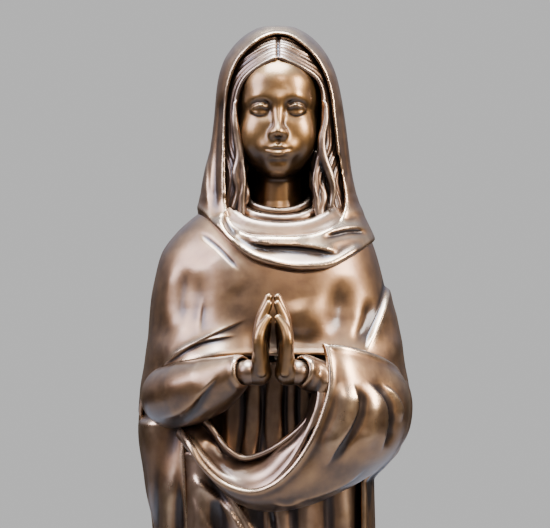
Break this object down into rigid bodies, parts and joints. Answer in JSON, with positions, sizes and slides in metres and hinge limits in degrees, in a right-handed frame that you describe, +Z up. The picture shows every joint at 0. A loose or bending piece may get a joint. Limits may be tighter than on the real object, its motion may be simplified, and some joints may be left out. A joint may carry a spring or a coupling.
{
  "type": "madonna statue",
  "caption": "Standing praying madonna in patinated bronze, veiled and cloaked, palms joined at the chest, on an oval plinth.",
  "frame": {"origin": "centre of the plinth's underside", "axes": "+Z up, the figure faces -Y, and +X is on the figure's own left"},
  "size_m": [0.25, 0.216, 0.8],
  "materials": {
    "mantle_bronze": "brown patina, waxed, rubbed bright on the ridges",
    "gown_bronze": "brown patina, darker in the pleats",
    "skin_bronze": "golden brown patina, waxed smooth",
    "hair_bronze": "dark brown patina in the strands",
    "plinth_bronze": "dark brown patina, cast texture",
    "stainless": "plain stainless steel"
  },
  "bodies": {
    "root": {"plinth": "plinth_bronze", "anchor_socket_rear": "stainless", "anchor_socket_right": "stainless", "anchor_socket_left": "stainless", "tie_rod": "stainless", "plinth_washer": "stainless", "plinth_nut": "stainless", "shoulder_bar": "stainless", "shoulder_washer": "stainless", "shoulder_nut": "stainless", "neck_boss": "stainless", "right_sleeve": "mantle_bronze", "right_cuff": "gown_bronze", "right_hand": "skin_bronze", "left_sleeve": "mantle_bronze", "left_cuff": "gown_bronze", "left_hand": "skin_bronze", "gown_front": "gown_bronze", "gown_back": "gown_bronze", "gown_bodice": "gown_bronze", "gown_collar": "gown_bronze", "right_shoe": "gown_bronze", "left_shoe": "gown_bronze", "mantle_cape": "mantle_bronze", "mantle_back": "mantle_bronze", "mantle_right_fall": "mantle_bronze", "mantle_left_fall": "mantle_bronze", "mantle_swag": "mantle_bronze", "head": "skin_bronze", "hair": "hair_bronze", "veil": "mantle_bronze"}
  },
  "joints": []
}
